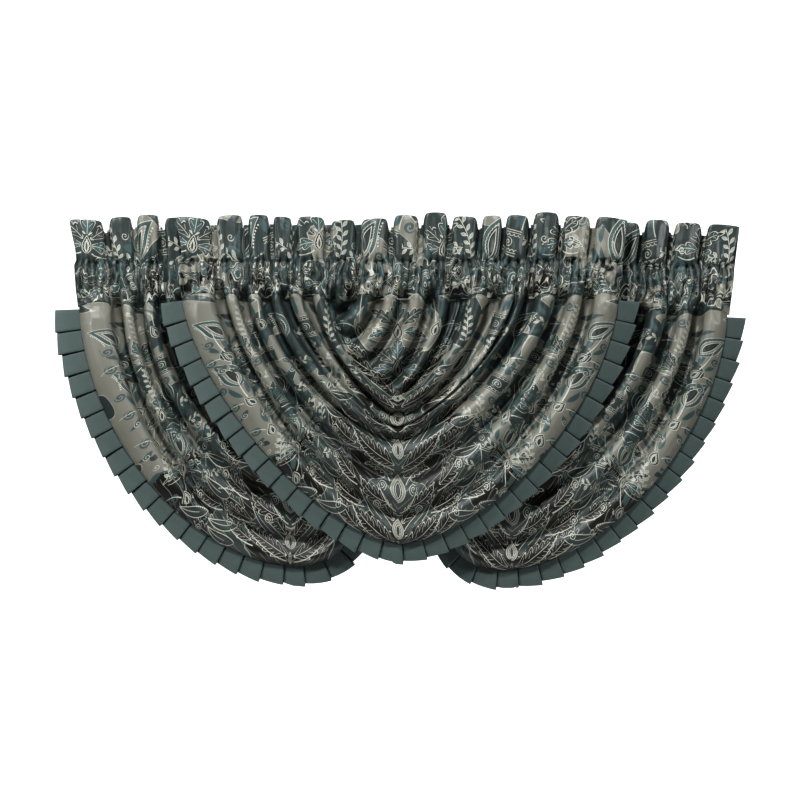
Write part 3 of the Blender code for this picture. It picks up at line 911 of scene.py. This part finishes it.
def jacquard():
    """The patterned cloth: a satin ground, and two layers of motifs, each drawn from its own coordinates."""
    material, tree, shader = new_material("jacquard_cloth", 0.6, 0.02)
    ground, zone, _, _ = attribute(tree, "region")
    flat_u, flat_v, _, flat = attribute(tree, "flat")
    under = Layer(tree, "shape", (acanthus, flame, leaf, paisley, band, curl))
    over = Layer(tree, "line", (sprig, beads, spiral, stem))

    # The ground: taupe and slate regions with a line between them, and a dark field with strokes low down.
    dark = zone > 0.5
    light_field = mixed(tree, ground > 0.0, SLATE, TAUPE)
    dark_field = mixed(tree, ground > 0.004, SLATE, DARK)
    field = mixed(tree, dark, light_field, dark_field)
    rim = mixed(tree, (zone > 0.47) * (zone < 0.53), field, TEAL)
    border = abs(ground) < 0.0010
    ripple = (flat_u * 31.0).step("SINE") * (flat_v * 43.0).step("SINE") * 0.006
    flow = (flat_v * 0.8 - abs(flat_u) * 0.62 + ripple) / 0.0135
    strokes = (abs(flow % 1.0 - 0.5) < 0.085) * dark * ((flow * 0.37 + flat_u * 6.0) % 1.0 > 0.42)
    variation = texture_noise(tree, flat, 7.0, 2.0)
    cloth = mixed(tree, (border * 0.7) | (strokes * 0.32), rim, CREAM)
    cloth = mixed(tree, under.filled, cloth, under.colour)
    cloth = mixed(tree, under.heart, cloth, SLATE)
    cloth = mixed(tree, variation * 0.25, cloth, DARK)
    # Painted shadow: a dark band just inside the outlines of the leaves and flames, and inside the paisleys'
    # hearts.
    cloth = mixed(tree, under.painted_shadow * 0.7, cloth, DARK)
    cloth = mixed(tree, under.lines * 0.8, cloth, CREAM)
    cloth = mixed(tree, over.filled * 0.8, cloth, PALE)
    cloth = mixed(tree, over.lines * 0.85, cloth, CREAM)
    tree.links.new(cloth, shader.inputs["Base Color"])
    rough = (under.lines | over.lines) * 0.16 + under.filled * 0.05 + 0.36
    tree.links.new(rough.socket, shader.inputs["Roughness"])
    # The weave itself: fine diagonal ribs and the cloth's small unevenness.
    grain = texture_noise(tree, flat, 240.0, 3.0)
    add_weave(tree, shader, waves(flat_u + flat_v, 0.0011) * 0.25 + grain, 0.35, 0.0006)
    return material


def trim_material():
    """The plain cloth of the trim, with a fine cross weave."""
    material, tree, shader = new_material("plain_trim", 0.35, 0.08)
    flat_u, flat_v, tone, flat = attribute(tree, "flat")
    slubs = texture_noise(tree, flat, 60.0, 3.0)
    cloth = mixed(tree, slubs * 0.16 + tone * 0.5, TRIM, SLATE)
    tree.links.new(cloth, shader.inputs["Base Color"])
    tree.links.new((slubs * 0.12 + 0.48).socket, shader.inputs["Roughness"])
    threads = waves(flat_u, 0.0009) * waves(flat_v, 0.0009)
    add_weave(tree, shader, threads * 0.3 + slubs, 0.3, 0.0005)
    return material


# The pieces.


def dark_zone(flat):
    """1 in the dark field at the foot of the cloth, 0 above it, with an uneven border that falls outwards."""
    u, v = np.abs(flat[:, 0]), flat[:, 1]
    edge = -0.29 - 0.75 * np.maximum(u - 0.05, 0.0) + 0.018 * np.sin(u * 45.0 + 1.0)
    return 0.5 + np.clip((edge - v) * 8.0, -0.5, 0.5)


def flat_size(flat, faces):
    """The width and length of a piece of flat cloth, and its area."""
    area = 0.0
    for face in faces:
        u, v = flat[list(face)].T
        area += 0.5 * abs(float(np.dot(u, np.roll(v, 1)) - np.dot(v, np.roll(u, 1))))
    width, length = np.ptp(flat, axis=0) * CUT
    return float(width), float(length), area * CUT**2


def add_panel(swag, material):
    """The draped cloth: the front of its grids, the same grids behind it and walls between the two."""
    panel = Panel(swag)
    front = panel.points.copy()
    front[:, 1] = panel_plane(swag) - front[:, 1]
    back = front + [0.0, CLOTH, 0.0]
    back[panel.top, 2] -= seam_fall(swag, CLOTH)
    count = len(front)
    faces = panel.faces + [tuple(i + count for i in reversed(f)) for f in panel.faces]
    faces += rim_faces(panel.faces, count)
    flat = np.concatenate([panel.flat, panel.flat])
    attributes = pattern_attributes(flat, faces, panel_places(), dark_zone(flat), True)
    piece = new_piece(f"{swag.name}_panel_cloth", np.concatenate([front, back]), faces, material, attributes)
    return piece, panel, flat_size(panel.flat, panel.faces)


def edge_line(swag, count=800):
    """The panel's edge: its points, and how far along it each lies."""
    points = line_points(swag, np.linspace(-1.0, 1.0, count + 1))[:, -1]
    steps = np.linalg.norm(np.diff(points[:, [0, 2]], axis=0), axis=1)
    return np.concatenate([[0.0], np.cumsum(steps)]), points


def outward(at, length, edge):
    """The direction out of the panel at places along its edge."""
    reach = 0.01
    low, high = np.maximum(at - reach, 0.0), np.minimum(at + reach, length[-1])
    ends = [[np.interp(spot, length, edge[:, k]) for k in (0, 2)] for spot in (low, high)]
    run = np.subtract(ends[1], ends[0]).T
    run /= np.linalg.norm(run, axis=1)[:, None]
    return np.stack([run[:, 1], -run[:, 0]], axis=1)


def pleats(whole, seed):
    """Columns along the trim: their places, how far each lies back, its share of the width, and its tone."""
    shares, behind = np.array(PLEAT_COLUMNS).T
    random = np.random.default_rng(seed + 100)
    count = round(whole / PLEAT_LENGTH)
    at, depth, width, tones = [], [], [], []
    for pleat in range(count):
        start = TRIM_START + whole * pleat / count + PLEAT_GAP / 2.0
        end = TRIM_START + whole * (pleat + 1) / count - PLEAT_GAP / 2.0
        at.append(start + (end - start) * shares)
        depth.append(behind * PLEAT_STEP * random.uniform(0.8, 1.15))
        corner = PLEAT_CORNER * random.uniform(0.75, 1.15)
        width.append(random.uniform(-0.0012, 0.0012) + corner * shares)
        tones.append(np.full(len(shares), random.uniform(0.0, 0.25)))
    return [np.concatenate(values) for values in (at, depth, width, tones)]


def add_trim(swag, material):
    """The knife-pleated strip behind the panel's edge, each pleat a little uneven, with a plain back."""
    length, edge = edge_line(swag)
    whole = length[-1] - 2.0 * TRIM_START
    at, depth, width, tones = pleats(whole, swag.seed)
    point = np.stack([np.interp(at, length, edge[:, k]) for k in range(3)], axis=1)
    outwards = outward(at, length, edge)
    hanging = np.maximum(0.0, -outwards[:, 1])
    side = np.where(at < 0.5 * length[-1], swag.trim_left, swag.trim_right)
    width = side + (TRIM_FOOT - side) * hanging + width
    behind_edge = panel_plane(swag) - point[:, 1] + CLOTH + TRIM_BACKING
    front, back = [], []
    for down in PLEAT_LEVELS:
        out = -TRIM_TUCK + (width + TRIM_TUCK) * down
        x, z = (point[:, [0, 2]] + outwards * out[:, None]).T
        y = behind_edge + TRIM_SWING * width * hanging * down**1.3
        bulge = 0.0016 * math.sin(math.pi * down)
        front.append(np.stack([x, y + depth * (0.55 + 0.45 * down) - bulge, z], axis=1))
        back.append(np.stack([x, y + PLEAT_COLUMNS[0][1] * PLEAT_STEP + TRIM_BACKING, z], axis=1))
    grid = np.stack(front + back[::-1], axis=1)
    columns, ring = grid.shape[:2]
    ids = np.arange(columns * ring).reshape(columns, ring)
    faces = [tuple(face) for face in tube_faces(ids).tolist()]
    for start, turn in ((ids[0], 1), (ids[-1], -1)):
        for row in range(ring // 2 - 1):
            corners = (row, ring - 1 - row, ring - 2 - row, row + 1)
            faces.append(tuple(int(start[corner]) for corner in corners[::turn]))
    flat_v = np.concatenate([PLEAT_LEVELS, PLEAT_LEVELS[::-1]])[None, :] * width[:, None]
    flat_u, tone = (values[:, None] + 0.0 * flat_v for values in (at, tones))
    attributes = [("flat", "POINT", np.stack([flat_u, flat_v, tone], axis=-1).reshape(-1, 3))]
    piece = new_piece(f"{swag.name}_trim_cloth", grid.reshape(-1, 3), faces, material, attributes, False)
    return piece, (whole * PLEAT_FULLNESS, float(width.mean()) + TRIM_TUCK)


def heading_rows():
    """The heading's levels, finer than its table, and each level's depths."""
    table = np.array(HEADING_ROWS)
    top = [0.0, 0.015, 0.04, 0.08, *np.linspace(0.14, 0.92, 13), 0.96]
    stages = np.concatenate([top, np.linspace(1.0, 2.0, 27)])
    return stages, [np.interp(stages, table[:, 0], table[:, k] * MM) for k in range(1, 5)]


def heading_columns(swag):
    """Along the heading: each column's share of the width, the top's rise, and the waves of the cloth."""
    random = np.random.default_rng(swag.seed + 200)
    steps = np.array([0.0, 0.012, 0.027, 0.045, 0.066, 0.09, 0.115])
    steps = np.concatenate([steps, np.linspace(0.145, 0.855, 23), 1.0 - steps[:0:-1]])
    whole = sum(loop.width for loop in swag.loops)
    last = len(swag.loops) - 1
    share, rise, wave, pull, begun = [], [], [], [], 0.0
    for number, loop in enumerate(swag.loops):
        share.append((begun + loop.width * steps) / whole)
        at_end = ((number == 0) & (steps < 0.5)) | ((number == last) & (steps > 0.5))
        edge = np.minimum(np.abs(2.0 * steps - 1.0) * np.where(at_end, END_GAP, LOOP_GAP), 1.0)
        tilt, puff = random.uniform(-0.35, 0.35), random.uniform(0.75, 1.1)
        round_top = (1.0 - edge**7) ** 0.42
        ripple = 0.12 * np.sin(2.0 * math.pi * (steps * random.uniform(1.0, 2.2) + random.uniform(0.0, 1.0)))
        wave.append(2.15 * puff * round_top - 1.25 + (tilt * (steps - 0.5) + ripple) * round_top)
        arch = 0.004 * (1.0 - edge**2) - 0.002 * random.uniform(0.0, 1.0) - 0.028 * edge**11
        rise.append(loop.rise_left + (loop.rise_right - loop.rise_left) * steps + arch)
        pull.append((0.5 - steps) * loop.width / whole * (1.0 - edge**9) ** 0.5)
        begun += loop.width
    closing = ((share, 1.0), (rise, loop.rise_right), (wave, -0.2), (pull, 0.0))
    share, rise, wave, pull = (np.append(np.concatenate(values), end) for values, end in closing)
    wave[0] = -0.2
    place = share * whole
    gather = place / POCKET_GATHER_PITCH + 0.6 * noise(place / 0.06, 0.0 * place + 3.5, swag.seed + 5)
    return share, rise, wave, pull, gather[:, None]


class Heading:
    """One heading: its grids of points, [column, level], front and back, and the pocket through it."""

    def __init__(self, swag, panel):
        self.swag = swag
        self.stages, (self.half, loop, self.gather_depth, crumple) = heading_rows()
        share, rise, wave, pull, self.gather = heading_columns(swag)
        x, z = self.spread(share, rise, pull)
        rough = self.creases(x, z)
        seam_z = np.interp(x[:, -1], panel.top_x, panel.top_z)[:, None]
        z = z + (seam_z - swag.seam + SEAM_GAP) * eased((self.stages - 1.35) / 0.65)
        self.x, self.z = x, z
        self.sway = 0.38 * noise(x / 0.030, z / 0.038, swag.seed + 9)
        moved = -loop * wave[:, None] - crumple * rough - self.gather_depth * puffs(self.gather + self.sway)
        self.fold(moved, panel)
        self.open_pocket()

    def spread(self, share, rise, pull):
        """Where every point stands, seen from the front: across and up."""
        swag, stages = self.swag, self.stages
        above = (swag.top + rise[:, None]) * (1.0 - stages) + swag.stitch * stages
        below = swag.stitch + (swag.seam + SEAM_GAP - swag.stitch) * (stages - 1.0)
        top_width = swag.upper[1] - swag.upper[0]
        top_x = swag.upper[0] + top_width * share
        seam_x = swag.lower[0] + (swag.lower[1] - swag.lower[0]) * share
        pinch = LOOP_PINCH * eased(stages / 0.8) * (1.0 - eased((stages - 0.9) / 0.16))
        x = top_x[:, None] + (seam_x - top_x)[:, None] * stages / 2.0 + top_width * pull[:, None] * pinch
        return x, np.where(stages > 1.0, below, above)

    def creases(self, x, z):
        """Small sharp creases that run down the gathered cloth."""
        seed = self.swag.seed
        bent = x / 0.0095 + 1.3 * noise(x / 0.03, z / 0.030, seed + 8)
        rough = 1.5 * np.abs(noise(bent, z / 0.055 + bent * 0.25, seed + 6)) - 0.4
        return rough + 0.5 * noise(x / 0.0055, z / 0.026, seed + 7)

    def fold(self, moved, panel):
        """The depths of the front and the back, which part for the pocket and meet the panel at the seam."""
        swag, stages, half = self.swag, self.stages, self.half
        parted = eased((stages - 1.0) / 0.22)
        front = swag.line - half + moved
        back = swag.line + half + moved * (1.0 - 2.0 * parted)
        if swag is SWAGS[0]:
            back = np.minimum(back, FRONT_CLEAR)
        else:
            hidden = eased((HEADING_COVER_END - np.abs(self.x)) / HEADING_COVER_FADE)
            front = front + hidden * np.maximum(SIDE_CLEAR - front, 0.0)
            back = np.maximum(back, front + 2.0 * np.minimum(half, CLOTH + SEAM_GAP))
        meet = eased((stages - 1.62) / 0.36)
        panel_y = np.interp(self.x[:, -1], panel.top_x, panel.top_y)[:, None]
        self.front = front + (panel_y - front) * meet
        self.back = back + (panel_y + HEM_DEPTH - back) * meet
        self.back_z = self.z - seam_fall(swag, HEM_DEPTH) * (stages >= 2.0)

    def open_pocket(self):
        """The closed outline of every column's section, and that of the pocket inside it."""
        x, z, front, back = self.x, self.z, self.front, self.back
        inside = (self.stages > 1.10) & (self.stages < 1.93)
        self.first = int(np.argmax(inside))
        self.last = len(inside) - 1 - int(np.argmax(inside[::-1]))
        before, after = self.first - 1, self.last + 1
        apexes = []
        for level, beside, height in (
            (self.first, before, np.full(len(x), self.swag.stitch - POCKET_INSET)),
            (self.last, after, z[:, -1] + POCKET_INSET),
        ):
            middle = 0.5 * (front[:, beside] + back[:, beside])
            apexes.append(np.stack([x[:, level], middle, height], axis=-1)[:, None])
        in_front = np.stack([x, front + CLOTH, z], axis=-1)[:, inside]
        in_back = np.stack([x, back - CLOTH, z], axis=-1)[:, inside]
        rear = np.stack([x, back, self.back_z], axis=-1)
        self.outline = np.concatenate([np.stack([x, front, z], axis=-1), rear[:, ::-1]], axis=1)
        self.pocket = np.concatenate([apexes[0], in_front, apexes[1], in_back[:, ::-1]], axis=1)

    def faces(self):
        columns, ring = self.outline.shape[:2]
        ids = np.arange(columns * ring).reshape(columns, ring)
        hole = ids.size + np.arange(columns * self.pocket.shape[1]).reshape(columns, -1)
        made = [tuple(face) for face in np.concatenate([tube_faces(ids), tube_faces(hole)[:, ::-1]]).tolist()]
        for column, turn in ((0, -1), (-1, 1)):
            closed = end_faces(ids[column].tolist(), hole[column].tolist(), self.first, self.last)
            made += [tuple(face[::turn]) for face in closed]
        return made

    def cloth(self):
        """Where each point lies on the flat strip, its share of the dark zone, and the strip's length."""
        swag, x, z = self.swag, self.x, self.z
        steps = np.hypot(np.diff(x[:, MEASURED_LEVEL]), np.diff(self.front[:, MEASURED_LEVEL]))
        along = np.cumsum(steps)
        length = float(along[-1])
        u = (np.concatenate([[0.0], along]) - length / 2.0)[:, None]
        taken_up = self.gather_depth / POCKET_GATHER_DEPTH
        shift = 0.0075 * puffs(self.gather + self.sway + 0.25)
        shift = shift + 0.010 * noise(x / 0.022, z / 0.018, swag.seed + 14)
        drift = 0.012 * noise(x / 0.020, z / 0.022, swag.seed + 15)
        patches = noise(x / 0.019 + 3.0, z / 0.017, swag.seed + 16) - 0.12
        dark = np.clip(0.5 + 0.6 * patches * taken_up - 0.3 * (taken_up < 0.5), 0.0, 1.0)
        sheet = np.stack([u + shift * taken_up, z - swag.top + drift * taken_up, dark], axis=-1)
        sheet = np.concatenate([sheet, sheet[:, ::-1]], axis=1)
        inner = np.repeat(sheet[:, :1], self.pocket.shape[1], axis=1)
        sheet = np.concatenate([sheet.reshape(-1, 3), inner.reshape(-1, 3)])
        return sheet[:, :2], sheet[:, 2], length


def add_heading(swag, panel, material):
    """The doubled strip over the panel: a ruffle of loops above, and below it the gathered pocket."""
    heading = Heading(swag, panel)
    faces = heading.faces()
    flat, dark, length = heading.cloth()
    places = heading_places(length, swag.seed)
    attributes = pattern_attributes(flat, faces, places, dark, False, -HEADING_SLATE)
    points = np.concatenate([heading.outline.reshape(-1, 3), heading.pocket.reshape(-1, 3)])
    return new_piece(f"{swag.name}_heading_cloth", points, faces, material, attributes), length * STRIP_SHARE


def heading_places(length, seed):
    """The groups of motifs along the strip of a heading."""
    random = np.random.default_rng(seed + 300)
    upper = [PALMETTE, VINE, TEARDROP, BANDED, VINE]
    lower = [PALMETTE, TEARDROP, SCROLLS, BOUQUET]
    places = []
    for number, u in enumerate(np.arange(0.05 - length / 2.0, length / 2.0, 0.105)):
        turn = random.uniform(-20, 20)
        places.append(Place(upper[number % 5], u, -0.055 + random.uniform(-0.01, 0.01), turn, 0.8))
        places.append(Place(lower[number % 4], u + 0.04, -0.170, -turn, 0.7))
    return places


def end_faces(outline, pocket, first, last):
    """The faces that close one end of a heading around its pocket, which has a first and a last level."""
    rows = len(outline) // 2
    front, back = outline[:rows], outline[:rows - 1:-1]
    half = len(pocket) // 2
    hole_front, hole_back = pocket[: half + 1], [pocket[0], *reversed(pocket[half:])]
    solid = [*range(first - 1), *range(last + 1, rows - 1)]
    faces = [(front[k], front[k + 1], back[k + 1], back[k]) for k in solid]
    faces.append((front[first - 1], front[first], hole_front[1], hole_front[0]))
    faces.append((front[first - 1], hole_front[0], back[first - 1]))
    faces.append((hole_back[0], hole_back[1], back[first], back[first - 1]))
    for n, k in enumerate(range(first, last), 1):
        faces.append((front[k], front[k + 1], hole_front[n + 1], hole_front[n]))
        faces.append((hole_back[n], hole_back[n + 1], back[k + 1], back[k]))
    faces.append((front[last], front[last + 1], hole_front[-1], hole_front[-2]))
    faces.append((front[last + 1], back[last + 1], hole_front[-1]))
    faces.append((hole_back[-2], hole_back[-1], back[last + 1], back[last]))
    return faces


# Light, floor and camera.

Lamp = namedtuple("Lamp", "name place size watts")
LAMPS = [
    Lamp("key", (-0.5, -2.9, 2.7), 0.5, 130.0),
    Lamp("left", (-3.3, -1.8, 0.9), 0.5, 74.0),
    Lamp("right", (3.3, -1.8, 0.9), 0.5, 58.0),
    Lamp("fill", (-0.3, -4.2, -1.2), 2.5, 9.0),
    Lamp("rear", (0.8, 3.0, 1.0), 1.5, 110.0),
]
LAMPS_AIM = (0.0, 0.0, -0.45)
FLOOR_LEVEL = -2.25
FLOOR_RADIUS = 2.5
FLOOR_SIDES = 64


def add_lamp(lamp):
    light = bpy.data.lights.new(lamp.name, "AREA")
    light.shape = "DISK"
    light.size = lamp.size
    light.energy = lamp.watts
    holder = bpy.data.objects.new(lamp.name, light)
    holder.location = lamp.place
    x, y, z = np.subtract(lamp.place, LAMPS_AIM)
    holder.rotation_euler = (math.atan2(math.hypot(x, y), z), 0.0, math.atan2(y, x) + 0.5 * math.pi)
    bpy.context.scene.collection.objects.link(holder)


def add_studio():
    """A white surround that gives no light itself, a key lamp, two side lamps, a dim fill and a rear lamp."""
    scene = bpy.context.scene
    scene.world = world = bpy.data.worlds.new("studio")
    world.use_nodes = True
    background = world.node_tree.nodes["Background"]
    background.inputs["Color"].default_value = (1.0, 1.0, 1.0, 1.0)
    background.inputs["Strength"].default_value = 1.04
    world.cycles_visibility.diffuse = False
    world.cycles_visibility.glossy = False
    scene.view_settings.view_transform = "Standard"
    scene.view_settings.look = "High Contrast"
    for lamp in LAMPS:
        add_lamp(lamp)


def add_floor():
    """A round pale floor, well below the valance."""
    material = bpy.data.materials.new("floor_paint")
    material.use_nodes = True
    paint = material.node_tree.nodes["Principled BSDF"]
    paint.inputs["Base Color"].default_value = (0.85, 0.85, 0.84, 1.0)
    paint.inputs["Roughness"].default_value = 0.9
    turns = [2.0 * math.pi * k / FLOOR_SIDES for k in range(FLOOR_SIDES)]
    rim = [(FLOOR_RADIUS * math.cos(turn), FLOOR_RADIUS * math.sin(turn), FLOOR_LEVEL) for turn in turns]
    new_piece("studio_floor", rim, [tuple(range(FLOOR_SIDES))], material, smooth=False)


def add_camera():
    """A level camera in front, far off through a long lens, that sees the photograph's 800 pixels."""
    lens = bpy.data.cameras.new("camera")
    lens.lens = 200.0
    lens.sensor_width = 36.0
    away = FRAME_PIXELS * PIXEL * lens.lens / lens.sensor_width
    camera = bpy.data.objects.new("camera", lens)
    camera.location = (0.0, -away - VALANCE_FRONT, -ORIGIN_ABOVE_MIDDLE * PIXEL)
    camera.rotation_euler = (0.5 * math.pi, 0.0, 0.0)
    bpy.context.scene.collection.objects.link(camera)
    bpy.context.scene.camera = camera


def main():
    add_camera()
    add_studio()
    add_floor()
    patterned, plain = jacquard(), trim_material()
    for swag in SWAGS:
        panel_piece, panel, size = add_panel(swag, patterned)
        heading_piece, strip_length = add_heading(swag, panel, patterned)
        trim_piece, trim_size = add_trim(swag, plain)
        for piece, part, slot in (
            (panel_piece, "panel", "jacquard"),
            (heading_piece, "heading", "jacquard"),
            (trim_piece, "trim", "trim_cloth"),
        ):
            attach(piece, "root")
            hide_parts(f"{swag.name}_{part}")


main()
